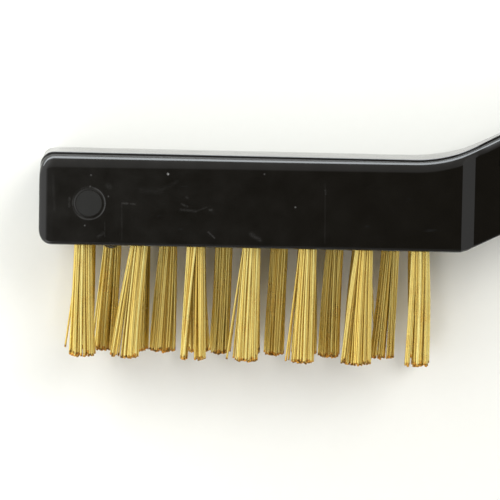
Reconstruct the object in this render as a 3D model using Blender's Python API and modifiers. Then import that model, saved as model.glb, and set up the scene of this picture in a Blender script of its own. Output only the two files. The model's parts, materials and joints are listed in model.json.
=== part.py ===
"""Toothbrush-style wire brush: a one-piece plastic handle, and three rows of brass wire tufts
staple-set into blind holes in its head, each tuft folded over a flat metal anchor.

The brush lies on its side. X runs along the handle from the head's tip (-X) to the hanging
end (+X), the wires point to -Y, the back of the head faces +Y, and Z is the width.
The origin is the bottom centre of the bounding box. The sizes below are in millimetres, measured
from the head's tip (x), from its wire face (y) and from the middle of its width (z).
"""

import math

import bmesh
import bpy
from mathutils import Matrix

MM = 0.001

# Handle
LENGTH = 190.5
HEAD_HEIGHT = 9.0
HEAD_WIDTH = 11.5
HEAD_LENGTH = 42.2
SHOULDER_LENGTH = 1.3
NECK_WIDTH = 9.9
NECK_END = 58.0
GRIP_START = 96.0
NECK_ANGLE = math.radians(26.0)
TIP_RADIUS = 1.2
EDGE_RADIUS = 0.85
GRIP_EDGE_RADIUS = 2.2
END_FLAT_HALF_HEIGHT = 1.2
CORNER_SEGMENTS = 3

# Side outline: (x, y, blend radius) at each corner, along the back and along the underside
BACK_CORNER_X = 40.8
BACK_BEND_X = 65.0
UNDER_CORNER_X = 42.5
UNDER_BEND_X = 67.5
NECK_RISE = math.tan(NECK_ANGLE)
BACK_CORNERS = (
    (0.0, HEAD_HEIGHT, 0.0),
    (BACK_CORNER_X, HEAD_HEIGHT, 17.6),
    (BACK_BEND_X, HEAD_HEIGHT + (BACK_BEND_X - BACK_CORNER_X) * NECK_RISE, 45.0),
    (125.0, 26.8, 420.0),
    (LENGTH, 24.9, 0.0),
)
UNDER_CORNERS = (
    (0.0, 0.0, 0.0),
    (UNDER_CORNER_X, 0.0, 3.0),
    (UNDER_BEND_X, (UNDER_BEND_X - UNDER_CORNER_X) * NECK_RISE, 55.0),
    (125.0, 14.6, 420.0),
    (LENGTH, 14.3, 0.0),
)
ARC_STEP = math.radians(2.0)

# Hanging hole and the shallow panel sunk into each side of the grip
HANG_HOLE_DIAMETER = 4.8
HANG_HOLE_FROM_END = 6.3
PANEL_START = 47.0
PANEL_END = 174.0
PANEL_LAND = 0.85
PANEL_DEPTH = 0.4
PANEL_CORNER_RADIUS = 1.2
PANEL_SLANT = 1.2

# Round witness mark of the mould's ejector pin, beside the tip
EJECTOR_X = 5.0
EJECTOR_Y = 4.2
EJECTOR_DIAMETER = 3.3
EJECTOR_DEPTH = 0.12

# Wire tufts: two outer rows of seven and a staggered middle row of six
TUFT_PITCH = 5.66
FIRST_TUFT_X = 4.3
ROW_SPACING = 3.3
TUFT_DIAMETER = 1.9
TIP_DIAMETER = 2.6
TRIM_AT_TIP = 11.3
TRIM_PER_MM = 0.0133
MIDDLE_ROW_SHORTER = 0.3
TIP_CROWN = 0.18
TUFT_SIDES = 12
HOLE_DIAMETER = 2.04
HOLE_DEPTH = 6.5
HOLE_SIDES = 16
FOLD_GAP = 0.08
FOLD_ROUNDING = 0.45
ROWS = {
    # row: (tufts, z, how far the tips of each tuft lean along x)
    "front": (7, ROW_SPACING, (-0.30, -0.95, -0.20, -0.40, -0.45, -0.70, -0.20)),
    "middle": (6, 0.0, (-0.70, -0.50, -0.20, -0.50, -0.55, -0.70)),
    "back": (7, -ROW_SPACING, (-0.10, -0.35, 0.15, -0.25, -0.05, -0.40, 0.10)),
}

# Anchors: flat strips across the holes, biting into the plastic at both ends
ANCHOR_LENGTH = 2.6
ANCHOR_HEIGHT = 1.4
ANCHOR_THICKNESS = 0.28
ANCHOR_BEVEL = 0.05
ANCHOR_TOP_DEPTH = 5.5
ANCHOR_GAP = 0.06

MATERIALS = {
    # name: (colour, roughness, metallic)
    "black_plastic": ((0.011, 0.010, 0.009, 1.0), 0.28, 0.0),
    "brass_wire": ((0.74, 0.52, 0.17, 1.0), 0.30, 1.0),
    "anchor_steel": ((0.48, 0.48, 0.47, 1.0), 0.38, 1.0),
}


def edge_path(corners):
    """Points along straight runs joined by arcs of each corner's blend radius."""
    points = [corners[0][:2]]
    for before, corner, after in zip(corners, corners[1:], corners[2:]):
        x, y, radius = corner
        heading_in = math.atan2(y - before[1], x - before[0])
        heading_out = math.atan2(after[1] - y, after[0] - x)
        turn = heading_out - heading_in
        tangent = radius * math.tan(abs(turn) / 2)
        side = math.copysign(1.0, turn)
        start_x = x - tangent * math.cos(heading_in)
        start_y = y - tangent * math.sin(heading_in)
        centre_x = start_x - side * radius * math.sin(heading_in)
        centre_y = start_y + side * radius * math.cos(heading_in)
        steps = max(2, math.ceil(abs(turn) / ARC_STEP))
        for step in range(steps + 1):
            heading = heading_in + turn * step / steps
            points.append(
                (
                    centre_x + side * radius * math.sin(heading),
                    centre_y - side * radius * math.cos(heading),
                )
            )
    points.append(corners[-1][:2])
    return points


BACK_PATH = edge_path(BACK_CORNERS)
UNDER_PATH = edge_path(UNDER_CORNERS)


def path_y(path, x):
    """Height of a path at x, by straight lines between its points."""
    for (x0, y0), (x1, y1) in zip(path, path[1:]):
        if x <= x1:
            break
    return y0 + (y1 - y0) * (x - x0) / (x1 - x0)


def smooth_step(start, end, x):
    share = min(max((x - start) / (end - start), 0.0), 1.0)
    return share * share * (3.0 - 2.0 * share)


def half_width(x):
    """Half of the handle's width: head, step in to the neck, and swell out to the grip."""
    shoulder = min(max((x - HEAD_LENGTH) / SHOULDER_LENGTH, 0.0), 1.0)
    narrow = shoulder * (1.0 - smooth_step(NECK_END, GRIP_START, x))
    return (HEAD_WIDTH - (HEAD_WIDTH - NECK_WIDTH) * narrow) / 2


def edge_radius(x):
    return EDGE_RADIUS + (GRIP_EDGE_RADIUS - EDGE_RADIUS) * smooth_step(NECK_END, GRIP_START, x)


def corner_inset(distance, radius):
    """How far a round corner of this radius stands in from the side, at a distance from the end."""
    reach = max(radius - distance, 0.0)
    return radius - math.sqrt(radius * radius - reach * reach)


def trim(x):
    """Wire length outside the head, which grows slightly towards the neck."""
    return TRIM_AT_TIP + TRIM_PER_MM * x


LAST_TUFT_X = FIRST_TUFT_X + 6 * TUFT_PITCH
LOWEST_Y = -(trim(LAST_TUFT_X) + TIP_CROWN)
HIGHEST_Y = max(y for _, y in BACK_PATH)
ORIGIN = (LENGTH / 2, (LOWEST_Y + HIGHEST_Y) / 2, -HEAD_WIDTH / 2)


def to_world(x, y, z):
    """Millimetres from the head's tip, wire face and mid-width, as metres from the origin."""
    return ((x - ORIGIN[0]) * MM, (y - ORIGIN[1]) * MM, (z - ORIGIN[2]) * MM)


def new_object(name, mesh, collection, material=None):
    thing = bpy.data.objects.new(name, mesh)
    collection.objects.link(thing)
    if material:
        mesh.materials.append(material)
        mesh.shade_smooth()
        mesh.set_sharp_from_angle(angle=math.radians(35))
    return thing


def mesh_from(shape, name):
    bmesh.ops.recalc_face_normals(shape, faces=shape.faces)
    mesh = bpy.data.meshes.new(name)
    shape.to_mesh(mesh)
    shape.free()
    return mesh


def loft(name, rings):
    """A closed skin through rings of equally many points, capped at both ends."""
    shape = bmesh.new()
    rows = [[shape.verts.new(to_world(*point)) for point in ring] for ring in rings]
    for row, next_row in zip(rows, rows[1:]):
        for index in range(len(row)):
            following = (index + 1) % len(row)
            shape.faces.new((row[index], row[following], next_row[following], next_row[index]))
    shape.faces.new(rows[0])
    shape.faces.new(rows[-1])
    return mesh_from(shape, name)


def handle_ring(x, inset=0.0, half_height=None):
    """One rounded rectangular section of the handle at x."""
    back, under = path_y(BACK_PATH, x), path_y(UNDER_PATH, x)
    middle = (back + under) / 2
    tall = (back - under) / 2 - inset if half_height is None else half_height
    wide = half_width(x) - inset
    radius = min(edge_radius(x), 0.8 * tall)
    ring = []
    for quarter in range(4):
        centre_y = math.copysign(tall - radius, math.cos(math.radians(45 + 90 * quarter)))
        centre_z = math.copysign(wide - radius, math.sin(math.radians(45 + 90 * quarter)))
        for step in range(CORNER_SEGMENTS + 1):
            angle = math.radians(90 * (quarter + step / CORNER_SEGMENTS))
            ring.append(
                (
                    x,
                    middle + centre_y + radius * math.cos(angle),
                    centre_z + radius * math.sin(angle),
                )
            )
    return ring


def handle_rings():
    rings = []
    for degrees in (0, 30, 60, 90):
        x = TIP_RADIUS * (1.0 - math.cos(math.radians(degrees)))
        rings.append(handle_ring(x, inset=corner_inset(x, TIP_RADIUS)))
    shoulder_end = HEAD_LENGTH + SHOULDER_LENGTH
    stations = [20.0, 36.4, 38.6, 40.8, HEAD_LENGTH, shoulder_end, 46.0]
    stations += [50.0 + 4.0 * step for step in range(13)]
    stations += [106.0 + 8.0 * step for step in range(10)]
    end_radius = (path_y(BACK_PATH, LENGTH) - path_y(UNDER_PATH, LENGTH)) / 2
    end_centre = LENGTH - math.sqrt(end_radius**2 - END_FLAT_HALF_HEIGHT**2)
    rings += [handle_ring(x) for x in stations if x < end_centre - 1.0]
    for step in range(8):
        reach = (LENGTH - end_centre) * math.sin(math.radians(90) * step / 7)
        tall = math.sqrt(end_radius**2 - reach**2)
        rings.append(handle_ring(end_centre + reach, half_height=tall))
    return rings


def panel_rings(side):
    """The space of the sunk panel on one side (+1 or -1), with rounded ends."""
    length = PANEL_END - PANEL_START
    ends = [PANEL_CORNER_RADIUS * (1 - math.cos(math.radians(30 * step))) for step in (0, 1, 2, 3)]
    inner = [length * step / 24 for step in range(1, 24)]
    distances = ends + inner + [length - end for end in reversed(ends)]
    rings = []
    for distance in distances:
        x = PANEL_START + distance
        slant = PANEL_SLANT * (1.0 - smooth_step(NECK_END, GRIP_START, x))
        rounding = corner_inset(min(distance, length - distance), PANEL_CORNER_RADIUS)
        margin = edge_radius(x) + PANEL_LAND + rounding
        back = (x - slant, path_y(BACK_PATH, x - slant) - margin)
        under = (x + slant, path_y(UNDER_PATH, x + slant) + margin)
        floor = side * (half_width(x) - PANEL_DEPTH)
        outside = side * HEAD_WIDTH
        rings.append([(*back, floor), (*back, outside), (*under, outside), (*under, floor)])
    return rings


def add_cylinder(shape, start, end, diameter, sides):
    """A closed cylinder between two points that differ along one axis only."""
    span = [b - a for a, b in zip(start, end)]
    length = sum(abs(part) for part in span)
    made = bmesh.ops.create_cone(
        shape,
        cap_ends=True,
        segments=sides,
        radius1=diameter / 2 * MM,
        radius2=diameter / 2 * MM,
        depth=length * MM,
    )
    if abs(span[1]) > 0:
        upright = Matrix.Rotation(math.radians(90), 3, "X")
        bmesh.ops.rotate(shape, verts=made["verts"], matrix=upright)
    middle = to_world(*[(a + b) / 2 for a, b in zip(start, end)])
    bmesh.ops.translate(shape, verts=made["verts"], vec=middle)


def add_box(shape, centre, size):
    made = bmesh.ops.create_cube(shape, size=1.0)
    bmesh.ops.scale(shape, verts=made["verts"], vec=[side * MM for side in size])
    bmesh.ops.translate(shape, verts=made["verts"], vec=to_world(*centre))


def tuft_places():
    """(row, number, x, z, lean) for each of the twenty tufts."""
    for row, (count, z, leans) in ROWS.items():
        start = FIRST_TUFT_X + (TUFT_PITCH / 2 if row == "middle" else 0.0)
        for index in range(count):
            yield row, index + 1, start + TUFT_PITCH * index, z, leans[index]


def anchor_centre(x, z):
    return (x, ANCHOR_TOP_DEPTH - ANCHOR_HEIGHT / 2, z)


def grown(size, gap):
    return [side + 2 * gap for side in size]


ANCHOR_SIZE = (ANCHOR_LENGTH, ANCHOR_HEIGHT, ANCHOR_THICKNESS)


def tuft_rings(row, x, z, lean):
    """A tuft from the fold at the bottom of its hole to its trimmed, slightly flared tips."""
    tip_y = -trim(x) + (MIDDLE_ROW_SHORTER if row == "middle" else 0.0)
    fold_y = HOLE_DEPTH - FOLD_GAP
    root, tip = TUFT_DIAMETER / 2, TIP_DIAMETER / 2
    levels = (
        # (y, radius, share of the lean)
        (fold_y, root - FOLD_ROUNDING, 0.0),
        (fold_y - FOLD_ROUNDING, root, 0.0),
        (0.0, root, 0.0),
        (tip_y * 0.35, root + (tip - root) * 0.25, 0.25),
        (tip_y * 0.70, root + (tip - root) * 0.60, 0.62),
        (tip_y, tip, 1.0),
        (tip_y - TIP_CROWN, tip * 0.6, 1.0),
    )
    rings = []
    for y, radius, share in levels:
        ring = []
        for side in range(TUFT_SIDES):
            angle = 2 * math.pi * (side + 0.5) / TUFT_SIDES
            ring.append((x + lean * share + radius * math.cos(angle), y, z + radius * math.sin(angle)))
        rings.append(ring)
    return rings


def cut(target, cutter):
    modifier = target.modifiers.new("cut_" + cutter.name, "BOOLEAN")
    modifier.operation = "DIFFERENCE"
    modifier.solver = "EXACT"
    modifier.object = cutter


def make_materials():
    made = {}
    for name, (colour, roughness, metallic) in MATERIALS.items():
        material = bpy.data.materials.new(name)
        material.use_nodes = True
        shader = material.node_tree.nodes["Principled BSDF"]
        shader.inputs["Base Color"].default_value = colour
        shader.inputs["Roughness"].default_value = roughness
        shader.inputs["Metallic"].default_value = metallic
        material.diffuse_color = colour
        made[name] = material
    return made


def make_cutter(name, mesh, cutters):
    cutter = new_object(name, mesh, cutters)
    cutter.hide_render = True
    cutter.display_type = "WIRE"
    return cutter


def make_handle(parts, cutters, material):
    handle = new_object("handle", loft("handle", handle_rings()), parts, material)

    for side, name in ((1, "panel_space_upper"), (-1, "panel_space_lower")):
        cut(handle, make_cutter(name, loft(name, panel_rings(side)), cutters))

    holes = bmesh.new()
    pockets = bmesh.new()
    for _, _, x, z, _ in tuft_places():
        add_cylinder(holes, (x, -1.0, z), (x, HOLE_DEPTH, z), HOLE_DIAMETER, HOLE_SIDES)
        add_box(pockets, anchor_centre(x, z), grown(ANCHOR_SIZE, ANCHOR_GAP))
    cut(handle, make_cutter("tuft_holes", mesh_from(holes, "tuft_holes"), cutters))
    cut(handle, make_cutter("anchor_pockets", mesh_from(pockets, "anchor_pockets"), cutters))

    marks = bmesh.new()
    hole_x = LENGTH - HANG_HOLE_FROM_END
    hole_y = (path_y(BACK_PATH, hole_x) + path_y(UNDER_PATH, hole_x)) / 2
    reach = HEAD_WIDTH
    add_cylinder(marks, (hole_x, hole_y, -reach), (hole_x, hole_y, reach), HANG_HOLE_DIAMETER, 28)
    ejector_floor = HEAD_WIDTH / 2 - EJECTOR_DEPTH
    add_cylinder(
        marks,
        (EJECTOR_X, EJECTOR_Y, ejector_floor),
        (EJECTOR_X, EJECTOR_Y, reach),
        EJECTOR_DIAMETER,
        24,
    )
    cut(handle, make_cutter("hang_hole_and_ejector_mark", mesh_from(marks, "round_cuts"), cutters))
    return handle


def make_tuft(row, number, place, parts, cutters, material):
    x, z, lean = place
    name = f"tuft_{row}_{number}"
    tuft = new_object(name, loft(name, tuft_rings(row, x, z, lean)), parts, material)
    slot = bmesh.new()
    add_box(slot, anchor_centre(x, z), grown(ANCHOR_SIZE, ANCHOR_GAP))
    cut(tuft, make_cutter(name + "_slot", mesh_from(slot, name + "_slot"), cutters))


def make_anchor(row, number, place, parts, material):
    x, z, _ = place
    name = f"anchor_{row}_{number}"
    strip = bmesh.new()
    add_box(strip, anchor_centre(x, z), ANCHOR_SIZE)
    anchor = new_object(name, mesh_from(strip, name), parts, material)
    bevel = anchor.modifiers.new("rounded edges", "BEVEL")
    bevel.width = ANCHOR_BEVEL * MM
    bevel.segments = 1


def main():
    for thing in list(bpy.data.objects):
        bpy.data.objects.remove(thing)
    parts = bpy.data.collections.new("wire_brush")
    cutters = bpy.data.collections.new("cutters")
    bpy.context.scene.collection.children.link(parts)
    bpy.context.scene.collection.children.link(cutters)

    materials = make_materials()
    make_handle(parts, cutters, materials["black_plastic"])
    for row, number, x, z, lean in tuft_places():
        place = (x, z, lean)
        make_tuft(row, number, place, parts, cutters, materials["brass_wire"])
        make_anchor(row, number, place, parts, materials["anchor_steel"])


main()
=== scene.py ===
import json
import math
import random

import bmesh
import bpy
import numpy as np
from mathutils import Matrix, Vector

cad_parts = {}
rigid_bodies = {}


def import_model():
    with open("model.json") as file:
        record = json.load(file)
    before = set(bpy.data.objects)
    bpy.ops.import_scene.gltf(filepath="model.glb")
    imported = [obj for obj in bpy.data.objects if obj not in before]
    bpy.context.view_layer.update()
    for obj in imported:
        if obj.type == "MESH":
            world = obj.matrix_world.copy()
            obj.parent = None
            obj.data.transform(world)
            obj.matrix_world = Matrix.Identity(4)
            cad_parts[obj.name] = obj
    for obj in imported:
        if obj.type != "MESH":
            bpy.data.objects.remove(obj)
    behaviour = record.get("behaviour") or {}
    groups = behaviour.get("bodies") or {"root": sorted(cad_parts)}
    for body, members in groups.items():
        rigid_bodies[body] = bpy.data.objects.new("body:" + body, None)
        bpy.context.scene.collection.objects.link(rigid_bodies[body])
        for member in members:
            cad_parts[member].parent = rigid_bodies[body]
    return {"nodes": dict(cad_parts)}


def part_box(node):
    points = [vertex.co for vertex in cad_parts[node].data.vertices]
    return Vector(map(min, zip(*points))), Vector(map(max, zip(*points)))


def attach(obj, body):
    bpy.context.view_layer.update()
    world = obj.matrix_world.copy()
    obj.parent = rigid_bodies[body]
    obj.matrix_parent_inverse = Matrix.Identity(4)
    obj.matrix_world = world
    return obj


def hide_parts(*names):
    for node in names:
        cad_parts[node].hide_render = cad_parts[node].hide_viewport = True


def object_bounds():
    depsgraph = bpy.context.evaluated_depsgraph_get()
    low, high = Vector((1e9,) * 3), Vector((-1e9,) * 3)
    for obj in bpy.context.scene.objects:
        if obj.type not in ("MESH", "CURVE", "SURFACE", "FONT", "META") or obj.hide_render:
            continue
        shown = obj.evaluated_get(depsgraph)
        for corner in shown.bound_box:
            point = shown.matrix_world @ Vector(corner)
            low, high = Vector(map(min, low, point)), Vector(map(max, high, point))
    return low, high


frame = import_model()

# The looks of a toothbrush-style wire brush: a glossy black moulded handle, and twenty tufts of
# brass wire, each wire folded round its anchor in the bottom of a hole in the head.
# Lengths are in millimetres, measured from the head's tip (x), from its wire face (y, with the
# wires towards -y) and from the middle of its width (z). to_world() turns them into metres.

CAD_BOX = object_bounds()
MM = 0.001
SEED = 20

HANDLE_LOW, HANDLE_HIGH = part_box("handle")
ORIGIN = Vector((HANDLE_LOW.x, HANDLE_LOW.y, (HANDLE_LOW.z + HANDLE_HIGH.z) / 2))
LENGTH = (HANDLE_HIGH.x - HANDLE_LOW.x) / MM
HEAD_WIDTH = (HANDLE_HIGH.z - HANDLE_LOW.z) / MM

# Handle outline, as in the CAD model
HEAD_HEIGHT = 9.0
HEAD_LENGTH = 42.2
SHOULDER_LENGTH = 1.3
NECK_WIDTH = 9.9
NECK_END = 58.0
GRIP_START = 96.0
NECK_RISE = math.tan(math.radians(26.0))
NECK_FOOT_RISE = math.tan(math.radians(27.1))
EDGE_RADIUS = 0.85
GRIP_EDGE_RADIUS = 2.2
END_FLAT_HALF_HEIGHT = 1.2
BACK_CORNERS = (
    # (x, y, blend radius)
    (0.0, HEAD_HEIGHT, 0.0),
    (40.8, HEAD_HEIGHT, 14.0),
    (50.0, HEAD_HEIGHT + (50.0 - 40.8) * NECK_FOOT_RISE, 60.0),
    (65.0, HEAD_HEIGHT + (65.0 - 40.8) * NECK_RISE, 45.0),
    (125.0, 26.8, 420.0),
    (LENGTH, 24.9, 0.0),
)
UNDER_CORNERS = (
    (0.0, 0.0, 0.0),
    (42.5, 0.0, 3.0),
    (67.5, (67.5 - 42.5) * NECK_RISE, 55.0),
    (125.0, 14.6, 420.0),
    (LENGTH, 14.3, 0.0),
)
HANG_HOLE_DIAMETER = 4.8
HANG_HOLE_FROM_END = 6.3
PANEL_START = 47.0
PANEL_END = 174.0
PANEL_LAND = 0.85
PANEL_DEPTH = 0.4
PANEL_CORNER_RADIUS = 1.2
PANEL_SLANT = 1.2

# Moulding detail of the handle
ARC_STEP = math.radians(1.0)
CORNER_SEGMENTS = 12
TIP_START = -0.10
TIP_CUT = 0.25                   # how much the side and back roundings are cut short by the end wall
TIP_ROUNDING = 1.05
TIP_BACK_ROUNDING = 1.10
TIP_LIP_ROUNDING = 1.50          # the outline's corners at the lip and on the wire side
TIP_WIRE_ROUNDING = 1.30
TIP_DRAFT = 0.45                 # how far the end wall leans back at the far side
TIP_DRAFT_REACH = 3.0
TIP_STEPS = 16
END_STEPS = 14
STATION_RUNS = (
    # (from x, to x, step) between the sections of the handle, up to the even grip
    (3.0, 36.0, 3.0),
    (36.0, HEAD_LENGTH, 0.4),
    (HEAD_LENGTH, HEAD_LENGTH + SHOULDER_LENGTH, 0.65),
    (HEAD_LENGTH + SHOULDER_LENGTH, 72.0, 0.6),
)
GRIP_STEP = 2.0
TIP_EASE = 0.05                  # the side face falls away by this much towards the tip
TIP_EASE_LENGTH = 2.8
BACK_EDGE_RADIUS = 1.40
BACK_EDGE_EXTRA = 0.16           # wider at the tip, down to nothing by BACK_EDGE_EASE
BACK_EDGE_EASE = 26.0
NECK_EDGE_RADIUS = 1.1
NECK_EDGE_START = 41.3
NECK_EDGE_END = 44.4
WIRE_EDGE_RADIUS = 0.4
NECK_WIRE_EDGE_RADIUS = 0.2
LIP_ANGLE = math.radians(31.0)   # where the back's rounding stops at a small moulded lip
LIP_ANGLE_BEND = math.radians(6.0)
LIP_WIDTH = 0.24
LIP_ROUNDING = 0.04
BACK_ALLOWANCE = 0.235           # the moulding stands this much above the plain back at the tip
BACK_ALLOWANCE_TAPER = 0.0045
DRAFT = math.tan(math.radians(1.2))
NECK_DRAFT = 0.06                # the neck's back falls away this steeply towards -z
NECK_DRAFT_START = 38.3
NECK_DRAFT_END = 48.5
LIP_BEND_START = 20.0
LIP_FADE_START = 0.35            # share of the back rounding after which the lip's step fades
WIRE_ALLOWANCE = 0.06
WIRE_ALLOWANCE_GROWTH = 0.0022
EJECTOR = (4.92, 4.15)
EJECTOR_DISC_RADIUS = 1.36
EJECTOR_RING_RADIUS = 1.59
EJECTOR_PROFILE = (
    # (radius, depth below the face), from the rim inwards
    (1.70, 0.0),
    (1.64, 0.020),
    (1.57, 0.035),
    (1.48, 0.032),
    (1.41, 0.018),
    (1.33, 0.014),
)
# Handling marks on the side face that looks to +z: (x, y, to x, to y, width, strength)
FACE_MARKS = (
    # grains of dust
    (5.11, 6.97, 5.11, 6.97, 0.16, 0.30),
    (5.04, 5.83, 5.04, 5.83, 0.16, 0.40),
    (4.54, 1.92, 4.54, 1.92, 0.15, 0.40),
    (6.86, 4.87, 6.86, 4.87, 0.16, 0.15),
    (12.78, 7.22, 12.78, 7.22, 0.22, 1.0),
    (22.40, 7.37, 22.40, 7.37, 0.16, 0.22),
    (25.55, 4.12, 25.55, 4.12, 0.17, 0.40),
    # rub beside the tip, and round the ejector mark
    (1.32, 6.80, 1.48, 3.41, 0.26, 0.020),
    (2.97, 4.63, 2.97, 3.83, 0.24, 0.05),
    (6.80, 5.95, 6.95, 5.85, 0.50, 0.030),
    (6.54, 2.25, 6.56, 0.83, 0.09, 0.035),
    (5.88, 0.79, 6.37, 1.19, 0.30, 0.045),
    # moulding line and the dash above it
    (8.20, 4.20, 8.27, 0.53, 0.14, 0.022),
    (8.29, 4.23, 8.80, 4.20, 0.20, 0.07),
    (9.10, 4.18, 9.54, 4.15, 0.18, 0.05),
    # scuffs along the head
    (10.2, 5.56, 12.0, 5.50, 0.60, 0.015),
    (12.0, 5.50, 13.7, 6.50, 0.35, 0.015),
    (14.68, 4.92, 14.75, 4.90, 0.30, 0.040),
    (14.22, 4.24, 14.72, 4.00, 0.22, 0.060),
    (14.05, 3.68, 15.60, 3.55, 0.26, 0.035),
    (15.60, 3.55, 16.70, 3.95, 0.14, 0.040),
    (17.00, 3.69, 17.25, 3.69, 0.22, 0.060),
    (16.90, 1.48, 17.52, 0.90, 0.16, 0.08),
    (21.17, 1.36, 22.08, 0.78, 0.40, 0.040),
    (28.48, 6.55, 28.57, 0.60, 0.12, 0.020),
    (28.50, 5.90, 28.54, 5.50, 0.18, 0.050),
)
BURR_CENTRE = (7.15, 0.42, 4.65)
BURR_SIZE = (0.98, 0.86, 0.85)

# Holes, anchors and wires
HOLE_DIAMETER = 2.04
HOLE_DEPTH = 6.5
ANCHOR_GAP = 0.06
WIRE_DIAMETER = 0.205
WIRE_PITCH = 0.226
WIRE_SIDES = 8
BUNDLE_RADIUS = 0.9
LEG_STEPS = 7
FOLD_STEPS = 6
FOLD_CLEARANCE = 0.08
SQUEEZE_START = 0.2
SQUEEZE_SHARE = 0.72
FOLD_DEPTH_SHARE = 1.25
TRIM_AT_TIP = 11.3
TRIM_PER_MM = 0.0133
MIDDLE_ROW_SHORTER = 0.3
TIP_CROWN = 0.24
DEPTH_FLARE = 0.48
CLUMPS = 14
CLUMP_PULL = {"front": 0.60, "middle": 0.30, "back": 0.45}
CLUMP_DRIFT = (0.11, 0.20)       # standard deviations, along x and z
TIP_SCATTER = (0.04, 0.045)
TRIM_SCATTER = 0.12
SPLIT_WIDTH = 0.05               # a step in a lean profile over less of the mouth splits the tuft
TUFT_BOW = 0.05
WIRE_BOW = (0.035, 0.05)
STRAY_DEPTH = 0.35
STRAY_FRONT_SHARE = 0.8
STRAY_TRIM = 0.15
STRAY_SPREAD = 0.1
CUT_SLOPE = 0.05                 # how far a wire's cut end may slope

# How far the wires of each tuft lean along x at their tips: (share of the mouth from its -x edge,
# lean), by straight lines between the points
LEANS = {
    "front": (
        ((0.0, -0.60), (0.45, -0.30), (0.55, 0.10), (1.0, 0.50)),
        ((0.0, -1.95), (0.18, -1.72), (0.20, -1.12), (1.0, -0.60)),
        ((0.0, -0.60), (0.50, -0.85), (0.52, 0.10), (1.0, 0.45)),
        ((0.0, -0.75), (1.0, 0.28)),
        ((0.0, -0.70), (1.0, 0.10)),
        ((0.0, -1.30), (1.0, 0.15)),
        ((0.0, -0.64), (1.0, 0.30)),
    ),
    "middle": (
        ((0.0, -0.95), (1.0, -0.50)),
        ((0.0, -1.05), (1.0, -0.05)),
        ((0.0, -0.50), (1.0, -0.15)),
        ((0.0, -0.65), (1.0, -0.20)),
        ((0.0, -0.72), (1.0, -0.10)),
        ((0.0, -1.05), (0.60, -0.90), (0.64, -0.40), (1.0, -0.20)),
    ),
    "back": (
        ((0.0, -0.60), (1.0, 0.05)),
        ((0.0, -0.75), (1.0, 0.10)),
        ((0.0, -0.20), (1.0, 0.60)),
        ((0.0, -0.70), (1.0, 0.20)),
        ((0.0, -0.45), (1.0, 0.35)),
        ((0.0, -0.85), (1.0, 0.05)),
        ((0.0, 0.05), (1.0, 0.65)),
    ),
}
# Single wires that stand away from their tuft: (share of the mouth, lean)
STRAYS = {
    ("front", 2): ((0.02, -1.95),),
    ("front", 4): ((0.0, -1.55),),
    ("front", 5): ((0.0, -1.95), (0.05, -1.25), (0.12, -0.95)),
    ("middle", 1): ((0.0, -1.35), (0.05, -1.20)),
    ("middle", 4): ((1.0, -1.55),),
    ("middle", 6): ((0.97, -0.35), (0.85, -0.10)),
    ("back", 1): ((0.0, -1.30),),
    ("back", 4): ((0.0, -1.30),),
    ("back", 6): ((1.0, 1.00),),
}


# Pale grey for dust and rubs on the plastic; also used for a painted sheen towards the tip and a
# painted reflection in the ejector mark's groove
PALE_DUST_AND_SHEEN = (0.34, 0.335, 0.32, 1.0)

# Radiance of the plain room, and how much brighter it is to the left, right and behind the head
SKY = 0.42
WEST_SKY = 0.86
EAST_SKY = 0.32
NORTH_SKY = 0.14
DARK_PATCH_SHARE = 0.13          # how bright the patch overhead is next to the open room
DARK_PATCH_RADIUS = (0.20, 0.44)  # where it starts to lighten and where it ends, at unit height
DARK_PATCH_CENTRE = (0.15, -0.20)

# Camera, in millimetres from the head, and its turn about the line of sight
VIEW_CENTRE = (21.1, -0.24)
VIEW_WIDTH = 50.0
CAMERA_HEIGHT = 300.0
CAMERA_BACK = 25.0
CAMERA_ROLL = -0.018


# ---------------------------------------------------------------- shape helpers


def to_world(x, y, z):
    return ORIGIN + Vector((x, y, z)) * MM


def edge_path(corners):
    """Points along straight runs joined by arcs of each corner's blend radius."""
    points = [corners[0][:2]]
    for before, corner, after in zip(corners, corners[1:], corners[2:]):
        x, y, radius = corner
        heading_in = math.atan2(y - before[1], x - before[0])
        heading_out = math.atan2(after[1] - y, after[0] - x)
        turn = heading_out - heading_in
        tangent = radius * math.tan(abs(turn) / 2)
        side = math.copysign(1.0, turn)
        start_x = x - tangent * math.cos(heading_in)
        start_y = y - tangent * math.sin(heading_in)
        centre_x = start_x - side * radius * math.sin(heading_in)
        centre_y = start_y + side * radius * math.cos(heading_in)
        steps = max(2, math.ceil(abs(turn) / ARC_STEP))
        for step in range(steps + 1):
            heading = heading_in + turn * step / steps
            points.append(
                (
                    centre_x + side * radius * math.sin(heading),
                    centre_y - side * radius * math.cos(heading),
                )
            )
    points.append(corners[-1][:2])
    return points


BACK_PATH = edge_path(BACK_CORNERS)
UNDER_PATH = edge_path(UNDER_CORNERS)


def path_y(path, x):
    """Height of a path at x, by straight lines between its points."""
    for (x0, y0), (x1, y1) in zip(path, path[1:]):
        if x <= x1:
            break
    return y0 + (y1 - y0) * (x - x0) / (x1 - x0)


def smooth_step(start, end, x):
    share = min(max((x - start) / (end - start), 0.0), 1.0)
    return share * share * (3.0 - 2.0 * share)


def half_width(x):
    """Half of the handle's width: head, step in to the neck, and swell out to the grip."""
    shoulder = min(max((x - HEAD_LENGTH) / SHOULDER_LENGTH, 0.0), 1.0)
    narrow = shoulder * (1.0 - smooth_step(NECK_END, GRIP_START, x))
    ease = TIP_EASE * max(1.0 - x / TIP_EASE_LENGTH, 0.0) ** 2
    return (HEAD_WIDTH - (HEAD_WIDTH - NECK_WIDTH) * narrow) / 2 - ease


def edge_half_width(x):
    """The same at the lip along the back, where the step fades out into a gentle slope."""
    shoulder = smooth_step(NECK_EDGE_START, NECK_EDGE_END, x)
    narrow = shoulder * (1.0 - smooth_step(NECK_END, GRIP_START, x))
    return (HEAD_WIDTH - (HEAD_WIDTH - NECK_WIDTH) * narrow) / 2


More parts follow.
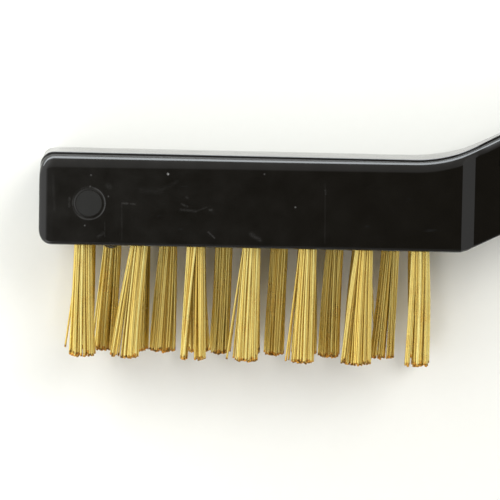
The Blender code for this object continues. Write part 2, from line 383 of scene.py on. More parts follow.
def edge_radius(x):
    return EDGE_RADIUS + (GRIP_EDGE_RADIUS - EDGE_RADIUS) * smooth_step(NECK_END, GRIP_START, x)


def corner_inset(distance, radius):
    """How far a round corner of this radius stands in from the side, at a distance from the end."""
    reach = max(radius - distance, 0.0)
    return radius - math.sqrt(radius * radius - reach * reach)


def spaced(start, end, step):
    """Evenly spaced values from start up to, but not including, end."""
    count = max(1, round((end - start) / step))
    return [start + (end - start) * index / count for index in range(count)]


def link(name, mesh):
    thing = bpy.data.objects.new(name, mesh)
    bpy.context.scene.collection.objects.link(thing)
    return thing


def mesh_from(shape, name):
    bmesh.ops.recalc_face_normals(shape, faces=shape.faces)
    mesh = bpy.data.meshes.new(name)
    shape.to_mesh(mesh)
    shape.free()
    return mesh


def loft(name, rings):
    """A closed skin through rings of equally many points, capped at both ends."""
    shape = bmesh.new()
    rows = [[shape.verts.new(to_world(*point)) for point in ring] for ring in rings]
    for row, next_row in zip(rows, rows[1:]):
        for index in range(len(row)):
            following = (index + 1) % len(row)
            shape.faces.new((row[index], row[following], next_row[following], next_row[index]))
    shape.faces.new(rows[0])
    shape.faces.new(rows[-1])
    return mesh_from(shape, name)


def cylinder(name, start, end, diameter, sides):
    """A closed cylinder between two points that differ along one axis only."""
    axis = [index for index in range(3) if abs(end[index] - start[index]) > 0][0]
    across = [index for index in range(3) if index != axis]
    rings = []
    for point in (start, end):
        ring = []
        for side in range(sides):
            angle = 2 * math.pi * side / sides
            place = list(point)
            place[across[0]] += diameter / 2 * math.cos(angle)
            place[across[1]] += diameter / 2 * math.sin(angle)
            ring.append(place)
        rings.append(ring)
    return loft(name, rings)


# ---------------------------------------------------------------- handle


def arc(x, centre, radius, start, end):
    """Points of a cross-section's round corner, between two angles from +y towards +z."""
    points = []
    for part in range(CORNER_SEGMENTS + 1):
        angle = start + (end - start) * part / CORNER_SEGMENTS
        points.append((x, centre[0] + radius * math.cos(angle), centre[1] + radius * math.sin(angle)))
    return points


def handle_ring(x, inset=0.0, lip_drop=0.0, back_drop=0.0, wire_drop=0.0, half_height=None):
    """One section of the handle at x: drafted back with a lip along its edge, rounded corners."""
    back, under = path_y(BACK_PATH, x), path_y(UNDER_PATH, x)
    middle = (back + under) / 2
    tall = (back - under) / 2 if half_height is None else half_height
    wide = half_width(x) - inset
    edge_step = edge_half_width(x) - inset - wide
    grip = smooth_step(NECK_END, GRIP_START, x)
    neck = smooth_step(NECK_EDGE_START, NECK_EDGE_END, x)
    back_radius = BACK_EDGE_RADIUS + (NECK_EDGE_RADIUS - BACK_EDGE_RADIUS) * neck
    back_radius += BACK_EDGE_EXTRA * (1.0 - smooth_step(0.0, BACK_EDGE_EASE, x))
    back_radius = min(back_radius + (GRIP_EDGE_RADIUS - back_radius) * grip, 0.8 * tall)
    wire_radius = WIRE_EDGE_RADIUS + (NECK_WIRE_EDGE_RADIUS - WIRE_EDGE_RADIUS) * neck
    wire_radius = min(wire_radius + (GRIP_EDGE_RADIUS - wire_radius) * grip, 0.8 * tall)
    lip = LIP_WIDTH * (1.0 - grip)
    lip_angle = LIP_ANGLE + LIP_ANGLE_BEND * smooth_step(LIP_BEND_START, HEAD_LENGTH, x) * (1.0 - neck)
    lip_angle *= 1.0 - grip
    allowance = BACK_ALLOWANCE - BACK_ALLOWANCE_TAPER * min(max(x, 0.0), HEAD_LENGTH)
    above = middle + tall + allowance * (1.0 - grip)
    top, rear = above - lip_drop, above - back_drop
    wire_allowance = WIRE_ALLOWANCE + WIRE_ALLOWANCE_GROWTH * min(max(x, 0.0), HEAD_LENGTH)
    bottom = middle - tall + wire_drop - wire_allowance * (1.0 - grip)
    fall = 2 * wide * NECK_DRAFT * smooth_step(NECK_DRAFT_START, NECK_DRAFT_END, x) * (1.0 - grip)
    crown = wide * DRAFT * (1.0 - grip) - fall / 2
    upper = (top - lip - back_radius * math.cos(lip_angle), wide - back_radius)
    lip_z = upper[1] + back_radius * math.sin(lip_angle) + edge_step
    quarter = math.radians(90)
    wire_y = bottom + wire_radius
    ring = []
    for part, (_, y, z) in enumerate(arc(x, upper, back_radius, lip_angle, quarter)):
        fade = 1.0 - smooth_step(LIP_FADE_START, 1.0, part / CORNER_SEGMENTS)
        ring.append((x, y, z + edge_step * fade))
    ring += arc(x, (wire_y, wide - wire_radius), wire_radius, quarter, 2 * quarter)
    ring += arc(x, (wire_y, wire_radius - wide), wire_radius, 2 * quarter, 3 * quarter)
    far = (rear - fall - back_radius, back_radius - wide)
    ring += arc(x, far, back_radius, 3 * quarter, 4 * quarter)
    ring.append((x, rear + crown, 0.0))
    ring.append((x, top, lip_z - 1.5 * LIP_ROUNDING))
    ring.append((x, top - lip * 0.2, lip_z - 0.3 * LIP_ROUNDING))
    ring.append((x, top - lip * 0.7, lip_z))
    lean = TIP_DRAFT * (1.0 - smooth_step(0.0, TIP_DRAFT_REACH, x)) / (2 * half_width(x))
    return [(x + lean * (half_width(x) - z), y, z) for _, y, z in ring]


def handle_rings():
    rings = []
    for part in range(TIP_STEPS + 1):
        away = TIP_LIP_ROUNDING * (1.0 - math.cos(math.radians(90) * part / TIP_STEPS))
        ring = handle_ring(
            TIP_START + away,
            inset=corner_inset(TIP_CUT + away, TIP_ROUNDING),
            lip_drop=corner_inset(away, TIP_LIP_ROUNDING),
            back_drop=corner_inset(TIP_CUT + away, TIP_BACK_ROUNDING),
            wire_drop=corner_inset(away, TIP_WIRE_ROUNDING),
        )
        rings.append(ring)
    end_radius = (path_y(BACK_PATH, LENGTH) - path_y(UNDER_PATH, LENGTH)) / 2
    end_centre = LENGTH - math.sqrt(end_radius**2 - END_FLAT_HALF_HEIGHT**2)
    stations = []
    for run in STATION_RUNS:
        stations += spaced(*run)
    stations += spaced(STATION_RUNS[-1][1], end_centre, GRIP_STEP)
    rings += [handle_ring(x) for x in stations]
    for part in range(END_STEPS + 1):
        reach = (LENGTH - end_centre) * math.sin(math.radians(90) * part / END_STEPS)
        tall = math.sqrt(end_radius**2 - reach**2)
        inset = corner_inset(LENGTH - end_centre - reach, GRIP_EDGE_RADIUS)
        rings.append(handle_ring(end_centre + reach, inset, half_height=tall))
    return rings


def panel_rings(side):
    """The space of the sunk panel on one side (+1 or -1), with rounded ends."""
    length = PANEL_END - PANEL_START
    ends = [0.0, 0.08, 0.2, 0.35, 0.6, 0.9, PANEL_CORNER_RADIUS]
    inner = spaced(2.0, length - 2.0, 2.0)
    distances = ends + inner + [length - end for end in reversed(ends)]
    rings = []
    for distance in distances:
        x = PANEL_START + distance
        slant = PANEL_SLANT * (1.0 - smooth_step(NECK_END, GRIP_START, x))
        rounding = corner_inset(min(distance, length - distance), PANEL_CORNER_RADIUS)
        margin = edge_radius(x) + PANEL_LAND + rounding
        back = (x - slant, path_y(BACK_PATH, x - slant) - margin)
        under = (x + slant, path_y(UNDER_PATH, x + slant) + margin)
        floor = side * (half_width(x) - PANEL_DEPTH)
        outside = side * HEAD_WIDTH
        rings.append([(*back, floor), (*back, outside), (*under, outside), (*under, floor)])
    return rings


def ejector_rings():
    """The space of the ejector pin's witness mark: a rounded groove round a dull, sunk disc."""
    face = HEAD_WIDTH / 2
    levels = [(EJECTOR_PROFILE[0][0], 1.0)]
    levels += [(radius, -depth) for radius, depth in EJECTOR_PROFILE]
    rings = []
    for radius, height in levels:
        ring = []
        for side in range(64):
            angle = 2 * math.pi * side / 64
            x = EJECTOR[0] + radius * math.cos(angle)
            y = EJECTOR[1] + radius * math.sin(angle)
            ring.append((x, y, face + height))
        rings.append(ring)
    return rings


def burr_rings():
    """A low round drip of plastic on the wire face."""
    rings = []
    for part in range(1, 12):
        height = math.cos(math.pi * part / 12)
        reach = math.sin(math.pi * part / 12)
        ring = []
        for side in range(32):
            angle = 2 * math.pi * side / 32
            x = BURR_CENTRE[0] + BURR_SIZE[0] * reach * math.cos(angle)
            y = BURR_CENTRE[1] + BURR_SIZE[1] * height
            z = BURR_CENTRE[2] + BURR_SIZE[2] * reach * math.sin(angle)
            ring.append((x, y, z))
        rings.append(ring)
    return rings


def holes():
    """(row, number, x, z) of each tuft, from the middle of its anchor."""
    for row in ("front", "middle", "back"):
        number = 1
        while f"anchor_{row}_{number}" in frame["nodes"]:
            low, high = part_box(f"anchor_{row}_{number}")
            centre = ((low + high) / 2 - ORIGIN) / MM
            yield row, number, centre.x, centre.z
            number += 1


def anchor_pocket(row, number):
    """The anchor's own box, a little larger all round, as two rings for loft()."""
    low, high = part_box(f"anchor_{row}_{number}")
    low = (low - ORIGIN) / MM - Vector((ANCHOR_GAP,) * 3)
    high = (high - ORIGIN) / MM + Vector((ANCHOR_GAP,) * 3)
    corners = ((low.y, low.z), (low.y, high.z), (high.y, high.z), (high.y, low.z))
    return [[(x, y, z) for y, z in corners] for x in (low.x, high.x)]


def apply_modifiers(thing):
    """Bakes the modifiers into the mesh."""
    graph = bpy.context.evaluated_depsgraph_get()
    mesh = bpy.data.meshes.new_from_object(thing.evaluated_get(graph))
    thing.modifiers.clear()
    thing.data = mesh


def cut(target, meshes, operation="DIFFERENCE"):
    """Cuts all these closed meshes out of the target at once, or joins them to it."""
    tools = bpy.data.collections.new("tools")
    bpy.context.scene.collection.children.link(tools)
    for mesh in meshes:
        tools.objects.link(bpy.data.objects.new(mesh.name, mesh))
    modifier = target.modifiers.new("cut", "BOOLEAN")
    modifier.operation = operation
    modifier.solver = "EXACT"
    modifier.operand_type = "COLLECTION"
    modifier.collection = tools
    apply_modifiers(target)
    for tool in list(tools.objects):
        bpy.data.objects.remove(tool)
    bpy.data.collections.remove(tools)


def make_handle():
    handle = link("handle_shell", loft("handle_shell", handle_rings()))
    cut(handle, [loft("burr", burr_rings())], operation="UNION")

    spaces = [loft(f"panel_{side}", panel_rings(side)) for side in (1, -1)]
    spaces.append(loft("ejector_mark", ejector_rings()))
    hole_x = LENGTH - HANG_HOLE_FROM_END
    hole_y = (path_y(BACK_PATH, hole_x) + path_y(UNDER_PATH, hole_x)) / 2
    start = (hole_x, hole_y, -HEAD_WIDTH)
    end = (hole_x, hole_y, HEAD_WIDTH)
    spaces.append(cylinder("hang_hole", start, end, HANG_HOLE_DIAMETER, 48))
    cut(handle, spaces)

    bores = []
    pockets = []
    for row, number, x, z in holes():
        bores.append(cylinder("bore", (x, -1.0, z), (x, HOLE_DEPTH, z), HOLE_DIAMETER, 32))
        pockets.append(loft("pocket", anchor_pocket(row, number)))
    cut(handle, bores)
    cut(handle, pockets)

    handle.data.shade_smooth()
    handle.data.set_sharp_from_angle(angle=math.radians(28))
    weighted = handle.modifiers.new("face area normals", "WEIGHTED_NORMAL")
    weighted.weight = 50
    weighted.keep_sharp = True
    apply_modifiers(handle)
    return handle


# ---------------------------------------------------------------- wire tufts


def mouth_places():
    """(x, z) where wires cross the wire face, for the half of the tuft on one side of its anchor."""
    places = []
    z = WIRE_PITCH / 2
    row = 0
    while z < BUNDLE_RADIUS:
        reach = math.sqrt(BUNDLE_RADIUS**2 - z**2)
        offset = 0.5 * (row % 2)
        most = math.ceil(reach / WIRE_PITCH)
        for index in range(-most, most + 1):
            x = (index + offset) * WIRE_PITCH
            if abs(x) <= reach:
                places.append((x, z))
        z += WIRE_PITCH * math.sqrt(3) / 2
        row += 1
    return places


def lean_at(profile, share):
    for (share0, lean0), (share1, lean1) in zip(profile, profile[1:]):
        if share <= share1:
            break
    return lean0 + (lean1 - lean0) * (share - share0) / (share1 - share0)


def mouth_share(x):
    """How far across the mouth x lies: 0 at its -x edge, 1 at its +x edge."""
    return min(max((x / BUNDLE_RADIUS + 1) / 2, 0.0), 1.0)


def make_legs(row, number, hole_x, chance):
    """The free legs of a tuft: {(x, z) at the mouth: tip}, all from the middle of the mouth."""
    profile = LEANS[row][number - 1]
    half = mouth_places()
    mouths = [(x, side * z) for x, z in half for side in (1, -1)]
    splits = [
        after[0]
        for before, after in zip(profile, profile[1:])
        if after[0] - before[0] < SPLIT_WIDTH
    ]
    centres = chance.sample(mouths, CLUMPS)
    drift = [tuple(chance.gauss(0, size) for size in CLUMP_DRIFT) for _ in centres]
    length = TRIM_AT_TIP + TRIM_PER_MM * hole_x
    if row == "middle":
        length -= MIDDLE_ROW_SHORTER
    legs = {}
    for x, z in mouths:
        share = mouth_share(x)
        nearest = min(
            range(CLUMPS),
            key=lambda index: math.dist(centres[index], (x, z)),
        )
        same_side = all(
            (mouth_share(centres[nearest][0]) < split) == (share < split) for split in splits
        )
        pull = CLUMP_PULL[row] if same_side else 0.0
        pull_x = (centres[nearest][0] - x) * pull
        pull_z = (centres[nearest][1] - z) * pull
        scatter_x = chance.gauss(0, TIP_SCATTER[0])
        tip_x = x + lean_at(profile, share) + pull_x + drift[nearest][0] + scatter_x
        spread = z / BUNDLE_RADIUS * DEPTH_FLARE
        tip_z = z + spread + pull_z + drift[nearest][1] + chance.gauss(0, TIP_SCATTER[1])
        off_centre = math.hypot(x, z) / BUNDLE_RADIUS
        trimmed = length + TIP_CROWN * (1 - off_centre**2) - abs(chance.gauss(0, TRIM_SCATTER))
        legs[(x, z)] = Vector((tip_x, -trimmed, tip_z))
    for share, lean in STRAYS.get((row, number), ()):
        wanted_x = (2 * share - 1) * BUNDLE_RADIUS
        side = 1 if chance.random() < STRAY_FRONT_SHARE else -1
        wanted = (wanted_x, side * STRAY_DEPTH)
        x, z = min(mouths, key=lambda place: math.dist(place, wanted))
        trimmed = length - chance.uniform(0.0, STRAY_TRIM)
        legs[(x, z)] = Vector((x + lean, -trimmed, z + STRAY_SPREAD * side))
    return half, legs


def leg_points(x, z, tip, bow):
    """A free leg from its tip to the mouth of the hole."""
    mouth = Vector((x, 0.0, z))
    points = []
    for step in range(LEG_STEPS):
        share = 1.0 - step / LEG_STEPS
        points.append(mouth + (tip - mouth) * share + bow * math.sin(math.pi * share))
    return points


def wire_path(x, z, tips, bows, anchor_top, anchor_bottom):
    """One wire from tip to tip, folded round the anchor."""
    squeezed = SQUEEZE_START + SQUEEZE_SHARE * z
    fold = FOLD_CLEARANCE + (squeezed - SQUEEZE_START) * FOLD_DEPTH_SHARE
    inside = [
        Vector((x, 0.0, z)),
        Vector((x, anchor_bottom * 0.8, squeezed)),
        Vector((x, anchor_top, squeezed)),
    ]
    points = leg_points(x, z, tips[0], bows[0]) + inside
    for step in range(1, FOLD_STEPS):
        angle = math.pi * step / FOLD_STEPS
        depth = anchor_top + fold * math.sin(angle)
        points.append(Vector((x, depth, squeezed * math.cos(angle))))
    points += [Vector((point.x, point.y, -point.z)) for point in reversed(inside)]
    points += reversed(leg_points(x, -z, tips[1], bows[1]))
    return points


def tube(points, chance):
    """Rings of a wire along its points, with roughly cut ends."""
    path = np.array(points)
    tangents = np.gradient(path, axis=0)
    tangents /= np.linalg.norm(tangents, axis=1)[:, None]
    sideways = np.array((1.0, 0.0, 0.0)) - tangents[:, :1] * tangents
    sideways /= np.linalg.norm(sideways, axis=1)[:, None]
    upwards = np.cross(tangents, sideways)
    angles = 2 * math.pi * np.arange(WIRE_SIDES) / WIRE_SIDES
    around = np.cos(angles)[None, :, None] * sideways[:, None, :]
    around = around + np.sin(angles)[None, :, None] * upwards[:, None, :]
    rings = path[:, None, :] + around * (WIRE_DIAMETER / 2)
    for end in (0, -1):
        slope = chance.uniform(0.0, CUT_SLOPE)
        phase = chance.uniform(0.0, 2 * math.pi)
        rings[end] += np.cos(angles - phase)[:, None] * slope * tangents[end]
    return rings


def make_tuft(row, number, hole_x, hole_z, chance):
    half, legs = make_legs(row, number, hole_x, chance)
    low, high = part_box(f"anchor_{row}_{number}")
    anchor_bottom, anchor_top = [(corner.y - ORIGIN.y) / MM for corner in (low, high)]
    vertices, faces, tones, reaches = [], [], [], []
    tuft_bow = chance.gauss(0, TUFT_BOW)
    for x, z in half:
        bows = [
            Vector((tuft_bow + chance.gauss(0, WIRE_BOW[0]), 0.0, chance.gauss(0, WIRE_BOW[1])))
            for _ in range(2)
        ]
        tips = (legs[(x, z)], legs[(x, -z)])
        points = wire_path(x, z, tips, bows, anchor_top, anchor_bottom)
        rings = tube(points, chance)
        first = len(vertices)
        last_ring = len(points) - 1
        for index, ring in enumerate(rings):
            vertices += [to_world(hole_x + point[0], point[1], hole_z + point[2]) for point in ring]
            from_end = min(index, last_ring - index)
            reaches += [max(0.0, 1.0 - from_end / LEG_STEPS)] * WIRE_SIDES
        tones += [chance.random()] * (len(rings) * WIRE_SIDES)
        for index in range(last_ring):
            start = first + index * WIRE_SIDES
            for side in range(WIRE_SIDES):
                following = (side + 1) % WIRE_SIDES
                faces.append(
                    (
                        start + side,
                        start + following,
                        start + WIRE_SIDES + following,
                        start + WIRE_SIDES + side,
                    )
                )
        end = first + last_ring * WIRE_SIDES
        faces.append(tuple(first + side for side in reversed(range(WIRE_SIDES))))
        faces.append(tuple(end + side for side in range(WIRE_SIDES)))
    mesh = bpy.data.meshes.new(f"wires_{row}_{number}")
    mesh.from_pydata(vertices, [], faces)
    for name, values in (("wire_tone", tones), ("wire_reach", reaches)):
        attribute = mesh.attributes.new(name, "FLOAT", "POINT")
        attribute.data.foreach_set("value", values)
    mesh.shade_smooth()
    mesh.set_sharp_from_angle(angle=math.radians(60))
    return link(f"wires_{row}_{number}", mesh)


# ---------------------------------------------------------------- materials


def add_node(tree, kind, values=None, **settings):
    """A node with its settings, and its inputs given as values or as other nodes' outputs."""
    made = tree.nodes.new("ShaderNode" + kind)
    for name, value in settings.items():
        setattr(made, name, value)
    for name, value in (values or {}).items():
        if isinstance(value, bpy.types.NodeSocket):
            tree.links.new(value, made.inputs[name])
        else:
            made.inputs[name].default_value = value
    return made


def math_node(tree, operation, *values, clamp=False):
    inputs = dict(enumerate(values))
    return add_node(tree, "Math", inputs, operation=operation, use_clamp=clamp).outputs[0]


def noise(tree, coordinates, scale, detail=2.0, roughness=0.5, distortion=0.0):
    made = add_node(
        tree,
        "TexNoise",
        {
            "Vector": coordinates,
            "Scale": scale,
            "Detail": detail,
            "Roughness": roughness,
            "Distortion": distortion,
        },
    )
    return made.outputs["Fac"]


def map_range(tree, value, low, high, to_low=0.0, to_high=1.0, smooth=False):
    made = add_node(
        tree,
        "MapRange",
        {"Value": value, "From Min": low, "From Max": high, "To Min": to_low, "To Max": to_high},
        interpolation_type="SMOOTHSTEP" if smooth else "LINEAR",
    )
    return made.outputs["Result"]


def mix_colour(tree, share, first, second):
    made = add_node(
        tree,
        "Mix",
        {0: share, 6: first, 7: second},
        data_type="RGBA",
    )
    return made.outputs[2]


def object_coordinates(tree, scale=(1.0, 1.0, 1.0), rotation=(0.0, 0.0, 0.0)):
    place = add_node(tree, "TexCoord").outputs["Object"]
    mapped = add_node(
        tree, "Mapping", {"Vector": place, "Scale": scale, "Rotation": rotation}
    )
    return mapped.outputs["Vector"]


def new_material(name):
    material = bpy.data.materials.new(name)
    material.use_nodes = True
    tree = material.node_tree
    return material, tree, tree.nodes["Principled BSDF"]


def plug(tree, shader, values):
    for name, value in values.items():
        if isinstance(value, bpy.types.NodeSocket):
            tree.links.new(value, shader.inputs[name])
        else:
            shader.inputs[name].default_value = value


def from_point(tree, point):
    """Where the surface lies from a point on the side face, as a vector in metres."""
    place = add_node(tree, "TexCoord").outputs["Object"]
    centre = to_world(*point, HEAD_WIDTH / 2)
    return add_node(tree, "VectorMath", {0: place, 1: centre}, operation="SUBTRACT").outputs[0]


def along(tree, vector, direction):
    return add_node(
        tree, "VectorMath", {0: vector, 1: direction}, operation="DOT_PRODUCT"
    ).outputs["Value"]


def stroke_mask(tree, x0, y0, x1, y1, width):
    """1 on a straight stroke on the side face that looks to +z, fading out at its edges."""
    offset = from_point(tree, ((x0 + x1) / 2, (y0 + y1) / 2))
    length = math.hypot(x1 - x0, y1 - y0)
    heading = math.atan2(y1 - y0, x1 - x0)
    forward = (math.cos(heading), math.sin(heading), 0.0)
    sideways = (-math.sin(heading), math.cos(heading), 0.0)
    ahead = math_node(tree, "ABSOLUTE", along(tree, offset, forward))
    ahead = math_node(tree, "MAXIMUM", math_node(tree, "SUBTRACT", ahead, length / 2 * MM), 0.0)
    across = along(tree, offset, sideways)
    squares = math_node(
        tree, "ADD", math_node(tree, "MULTIPLY", ahead, ahead),
        math_node(tree, "MULTIPLY", across, across),
    )
    away = math_node(tree, "SQRT", squares)
    return map_range(tree, away, width * 0.75 * MM, width * 0.1 * MM)


def face_marks(tree, upper):
    """All the handling marks, laid over each other and a little broken up."""
    marks = None
    for *ends, width, strength in FACE_MARKS:
        mark = math_node(tree, "MULTIPLY", stroke_mask(tree, *ends, width), strength)
        marks = mark if marks is None else math_node(tree, "MAXIMUM", marks, mark)
    grain = map_range(tree, noise(tree, object_coordinates(tree), 4500.0, 2.0, 0.6), 0.3, 0.6)
    broken = math_node(tree, "MULTIPLY_ADD", grain, 0.75, 0.15)
    return math_node(tree, "MULTIPLY", math_node(tree, "MULTIPLY", marks, broken), upper)


def black_plastic():
    """Glossy black moulded plastic: faint flow waves, haze, rubbed marks, dust, one dull disc, with a
    painted sheen towards the tip and a painted reflection in the ejector mark's groove.
    """
    material, tree, shader = new_material("black_plastic")
    plain = object_coordinates(tree)
    haze = noise(tree, plain, 420.0, 4.0, 0.6)
    patches = noise(tree, plain, 90.0, 2.0, 0.5)
    speckle = noise(tree, plain, 5200.0, 2.0, 0.6)

    offset = from_point(tree, EJECTOR)
    split = add_node(tree, "SeparateXYZ", {0: offset})
    offset_x = split.outputs["X"]
    upper = math_node(tree, "GREATER_THAN", split.outputs["Z"], -0.5 * MM)
    flat = add_node(tree, "CombineXYZ", {0: split.outputs["X"], 1: split.outputs["Y"]}).outputs[0]
    away = add_node(tree, "VectorMath", {0: flat}, operation="LENGTH").outputs["Value"]
    disc = map_range(tree, away, (EJECTOR_DISC_RADIUS + 0.04) * MM, EJECTOR_DISC_RADIUS * 0.9 * MM)
    disc = math_node(tree, "MULTIPLY", disc, upper)
    # Painted reflection: a lighter ring along the groove round the ejector mark, where its walls would
    # catch the bright room, broken up by noise.
    off_ring = math_node(tree, "SUBTRACT", away, EJECTOR_RING_RADIUS * MM)
    ring = map_range(tree, math_node(tree, "ABSOLUTE", off_ring), 0.16 * MM, 0.04 * MM)
    patchiness = map_range(tree, noise(tree, plain, 650.0, 2.0, 0.5), 0.36, 0.62, 0.15, 1.0)
    ring = math_node(tree, "MULTIPLY", math_node(tree, "MULTIPLY", ring, patchiness), upper)

    rubbed = object_coordinates(tree, scale=(260.0, 1500.0, 1500.0), rotation=(0.0, 0.0, 0.35))
    streaks = map_range(tree, noise(tree, rubbed, 1.0, 3.0, 0.7, 0.6), 0.64, 0.72)
    where = map_range(tree, patches, 0.56, 0.66)
    marks = math_node(tree, "MULTIPLY", streaks, where)

    cells = add_node(tree, "TexVoronoi", {"Vector": plain, "Scale": 330.0, "Randomness": 1.0})
    picked = math_node(tree, "GREATER_THAN", noise(tree, plain, 700.0, 0.0), 0.66)
    specks = map_range(tree, cells.outputs["Distance"], 0.035, 0.015)
    dust = math_node(tree, "MULTIPLY", specks, picked, clamp=True)

    roughness = map_range(tree, haze, 0.3, 0.75, 0.08, 0.14)
    roughness = math_node(tree, "ADD", roughness, math_node(tree, "MULTIPLY", marks, 0.07))
    roughness = math_node(tree, "ADD", roughness, math_node(tree, "MULTIPLY", disc, 0.25))
    colour = mix_colour(tree, haze, (0.0034, 0.0027, 0.0016, 1.0), (0.0058, 0.0047, 0.0031, 1.0))
    # Painted sheen: the face is lightened towards the tip, standing in for the brighter reflection
    # there, broken up by the haze.
    tip_sheen = map_range(tree, offset_x, (HEAD_LENGTH - 5.0) * MM, 0.0)
    tip_sheen = math_node(tree, "MULTIPLY", tip_sheen, map_range(tree, haze, 0.3, 0.7, 0.004, 0.014))
    colour = mix_colour(tree, tip_sheen, colour, PALE_DUST_AND_SHEEN)
    colour = mix_colour(tree, marks, colour, (0.010, 0.010, 0.0095, 1.0))
    colour = mix_colour(tree, disc, colour, (0.0112, 0.0107, 0.0090, 1.0))
    # Painted reflection of the ejector groove's walls, in the pale dust colour.
    colour = mix_colour(tree, math_node(tree, "MULTIPLY", ring, 0.06), colour, PALE_DUST_AND_SHEEN)
    colour = mix_colour(tree, dust, colour, (0.10, 0.10, 0.095, 1.0))
    colour = mix_colour(tree, face_marks(tree, upper), colour, PALE_DUST_AND_SHEEN)

    waves = noise(tree, object_coordinates(tree, scale=(60.0, 130.0, 130.0)), 1.0, 2.0)
    height = math_node(tree, "MULTIPLY", waves, 0.030 * MM)
    height = math_node(tree, "ADD", height, math_node(tree, "MULTIPLY", haze, 0.0012 * MM))
    height = math_node(tree, "ADD", height, math_node(tree, "MULTIPLY", speckle, 0.00012 * MM))
    height = math_node(tree, "ADD", height, math_node(tree, "MULTIPLY", dust, 0.01 * MM))
    bump = add_node(tree, "Bump", {"Height": height, "Strength": 1.0, "Distance": 1.0})
    plug(
        tree,
        shader,
        {
            "Base Color": colour,
            "Roughness": roughness,
            "IOR": 1.5,
            "Normal": bump.outputs["Normal"],
        },
    )
    return material


def brass_wire():
    """Drawn brass: a tone for each wire, fine lengthwise drawing marks, tarnish, brown cut ends."""
    material, tree, shader = new_material("brass_wire")
    tone = add_node(tree, "Attribute", attribute_name="wire_tone").outputs["Fac"]
    reach = add_node(tree, "Attribute", attribute_name="wire_reach").outputs["Fac"]
    plain = object_coordinates(tree)
    drawn = object_coordinates(tree, scale=(5200.0, 90.0, 5200.0))
    lines = noise(tree, drawn, 1.0, 3.0, 0.6)
    stains = noise(tree, plain, 380.0, 3.0, 0.6)
    flecks = noise(tree, plain, 2600.0, 2.0, 0.6)

    colour = mix_colour(tree, tone, (0.86, 0.64, 0.17, 1.0), (0.98, 0.85, 0.33, 1.0))
    patchiness = map_range(tree, lines, 0.45, 0.75, 0.0, 0.35)
    colour = mix_colour(tree, patchiness, colour, (0.78, 0.54, 0.12, 1.0))
    tarnish = map_range(tree, stains, 0.56, 0.74, 0.0, 0.45)
    colour = mix_colour(tree, tarnish, colour, (0.74, 0.46, 0.09, 1.0))
    # The last bit of each wire towards its cut end is coloured dark brown and orange, in flecks.
    end_colour_from = map_range(tree, flecks, 0.3, 0.7, 0.955, 0.992)
    end_colour_share = math_node(tree, "SUBTRACT", reach, end_colour_from)
    end_colour_share = map_range(tree, end_colour_share, 0.0, 0.010, 0.0, 0.9)
    cut_ends = noise(tree, plain, 3400.0, 1.0, 0.5)
    cut_colour = mix_colour(
        tree,
        map_range(tree, cut_ends, 0.42, 0.58),
        (0.15, 0.055, 0.009, 1.0),
        (0.85, 0.42, 0.06, 1.0),
    )
    colour = mix_colour(tree, end_colour_share, colour, cut_colour)

    roughness = map_range(tree, lines, 0.3, 0.7, 0.17, 0.27)
    roughness = math_node(tree, "ADD", roughness, math_node(tree, "MULTIPLY", tarnish, 0.2))
    height = math_node(tree, "MULTIPLY", lines, 0.0008 * MM)
    bump = add_node(tree, "Bump", {"Height": height, "Strength": 1.0, "Distance": 1.0})
    plug(
        tree,
        shader,
        {
            "Base Color": colour,
            "Metallic": 0.75,
            "Specular Tint": (0.76, 0.55, 0.17, 1.0),
            "Specular IOR Level": 0.3,
            "Roughness": roughness,
            "Normal": bump.outputs["Normal"],
        },
    )
    return material


def anchor_steel():
    """Rolled and sheared strip: brushed along its length, a little stained."""
    material, tree, shader = new_material("anchor_steel")
    rolled = object_coordinates(tree, scale=(500.0, 9000.0, 9000.0))
    grain = noise(tree, rolled, 1.0, 3.0, 0.6)
    stains = noise(tree, object_coordinates(tree), 900.0, 3.0, 0.6)
    colour = mix_colour(tree, grain, (0.40, 0.40, 0.39, 1.0), (0.60, 0.60, 0.58, 1.0))
    tarnish = map_range(tree, stains, 0.55, 0.75, 0.0, 0.5)
    colour = mix_colour(tree, tarnish, colour, (0.30, 0.27, 0.22, 1.0))
    height = math_node(tree, "MULTIPLY", grain, 0.004 * MM)
    bump = add_node(tree, "Bump", {"Height": height, "Strength": 1.0, "Distance": 1.0})
    plug(
        tree,
        shader,
        {
            "Base Color": colour,
            "Metallic": 1.0,
            "Roughness": map_range(tree, grain, 0.3, 0.7, 0.28, 0.45),
            "Normal": bump.outputs["Normal"],
        },
    )
    return material


def pale_table():
    material, tree, shader = new_material("pale_table")
    fibres = noise(tree, object_coordinates(tree), 900.0, 3.0, 0.6)
    colour = mix_colour(tree, fibres, (0.905, 0.895, 0.835, 1.0), (0.925, 0.915, 0.855, 1.0))
    plug(tree, shader, {"Base Color": colour, "Roughness": 0.4, "IOR": 1.45})
    return material


# ---------------------------------------------------------------- stage, light and camera


def make_floor():
    shape = bmesh.new()
    bmesh.ops.create_grid(shape, x_segments=4, y_segments=4, size=2.5)
    floor = link("floor", mesh_from(shape, "floor"))
    floor.location.z = CAD_BOX[0].z - 0.02 * MM
    floor.data.materials.append(pale_table())


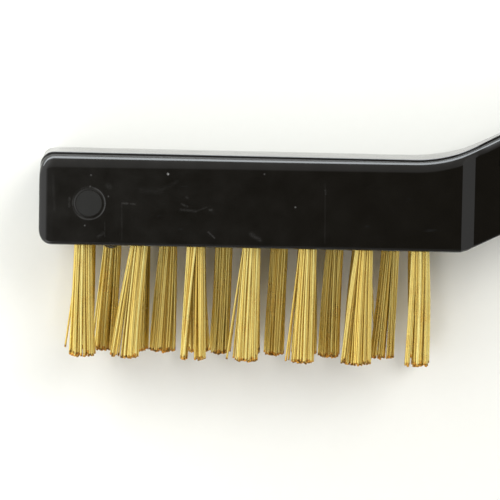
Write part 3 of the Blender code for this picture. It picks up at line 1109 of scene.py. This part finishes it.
def make_world():
    """A pale room with a dark patch overhead, bright to the left and dimmer to the right."""
    world = bpy.data.worlds.new("studio")
    world.use_nodes = True
    bpy.context.scene.world = world
    tree = world.node_tree
    background = tree.nodes["Background"]
    direction = add_node(tree, "TexCoord").outputs["Generated"]
    split = add_node(tree, "SeparateXYZ", {0: direction})
    x, y, z = (split.outputs[axis] for axis in "XYZ")
    west = map_range(tree, x, -0.07, -0.42, SKY, SKY + WEST_SKY, smooth=True)
    east = map_range(tree, x, 0.15, 0.50, 0.0, EAST_SKY, smooth=True)
    sides = math_node(tree, "ADD", west, east)
    sides = math_node(tree, "MULTIPLY_ADD", y, NORTH_SKY, sides)
    steep = math_node(tree, "MAXIMUM", z, 0.05)
    centre_x, centre_y = DARK_PATCH_CENTRE
    across = math_node(tree, "SUBTRACT", math_node(tree, "DIVIDE", x, steep), centre_x)
    back = math_node(tree, "SUBTRACT", math_node(tree, "DIVIDE", y, steep), centre_y)
    squares = math_node(
        tree, "ADD", math_node(tree, "POWER", across, 2.0), math_node(tree, "POWER", back, 2.0)
    )
    away = math_node(tree, "SQRT", squares)
    open_sky = map_range(tree, away, *DARK_PATCH_RADIUS, DARK_PATCH_SHARE, 1.0, smooth=True)
    strength = math_node(tree, "MULTIPLY", sides, open_sky)
    tree.links.new(strength, background.inputs["Strength"])
    background.inputs["Color"].default_value = (0.97, 0.985, 1.0, 1.0)


def add_softbox(name, place, target, size, radiance, colour=(1.0, 1.0, 1.0), mirrored=True):
    """A flat rectangular light that looks from its place to a target, both in metres.

    One that isn't mirrored only lights: glossy surfaces don't show its shape.
    """
    width, height = size
    light = bpy.data.lights.new(name, "AREA")
    light.shape = "RECTANGLE"
    light.size = width
    light.size_y = height
    light.energy = radiance * math.pi * width * height
    light.color = colour
    lamp = bpy.data.objects.new(name, light)
    lamp.visible_glossy = mirrored
    lamp.location = place
    towards = Vector(target) - Vector(place)
    lamp.rotation_euler = towards.to_track_quat("-Z", "Y").to_euler()
    bpy.context.scene.collection.objects.link(lamp)


def make_lights(target):
    large, small = (0.8, 0.8), (0.6, 0.6)
    add_softbox("right_softbox", (0.75, 0.75, 1.2), target, large, 5.8, mirrored=False)
    add_softbox("left_softbox", (-0.95, 0.15, 1.1), target, large, 0.7, mirrored=False)
    add_softbox("front_softbox", (-0.55, -0.85, 0.85), target, small, 2.1)
    back = target + Vector((-0.25, 1.02, 0.18))
    add_softbox("back_window", back, target, (3.0, 0.34), 8.8, (0.90, 0.96, 1.0))


def make_camera():
    """Looks down on the head from above its back edge, turned a little about its line of sight."""
    face = HEAD_WIDTH / 2
    target = to_world(*VIEW_CENTRE, face)
    place = to_world(VIEW_CENTRE[0], VIEW_CENTRE[1] + CAMERA_BACK, face + CAMERA_HEIGHT)
    forward = (target - place).normalized()
    sideways = forward.cross(Vector((CAMERA_ROLL, 1.0, 0.0))).normalized()
    upwards = sideways.cross(forward)
    data = bpy.data.cameras.new("camera")
    data.angle = 2 * math.atan(VIEW_WIDTH * MM / 2 / (target - place).length)
    data.clip_start = 0.01
    camera = bpy.data.objects.new("camera", data)
    camera.matrix_world = Matrix.Translation(place) @ Matrix(
        (sideways, upwards, -forward)
    ).transposed().to_4x4()
    bpy.context.scene.collection.objects.link(camera)
    bpy.context.scene.camera = camera
    return target


# ---------------------------------------------------------------- build


def main():
    plastic, brass, steel = black_plastic(), brass_wire(), anchor_steel()

    handle = make_handle()
    handle.data.materials.clear()
    handle.data.materials.append(plastic)
    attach(handle, "root")
    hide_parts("handle")

    chance = random.Random(SEED)
    for row, number, x, z in holes():
        tuft = make_tuft(row, number, x, z, chance)
        tuft.data.materials.append(brass)
        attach(tuft, "root")
        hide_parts(f"tuft_{row}_{number}")
        anchor = frame["nodes"][f"anchor_{row}_{number}"]
        for slot in anchor.material_slots:
            slot.material = steel

    make_floor()
    make_world()
    target = make_camera()
    make_lights(target)
    bpy.context.scene.view_settings.view_transform = "Standard"


main()
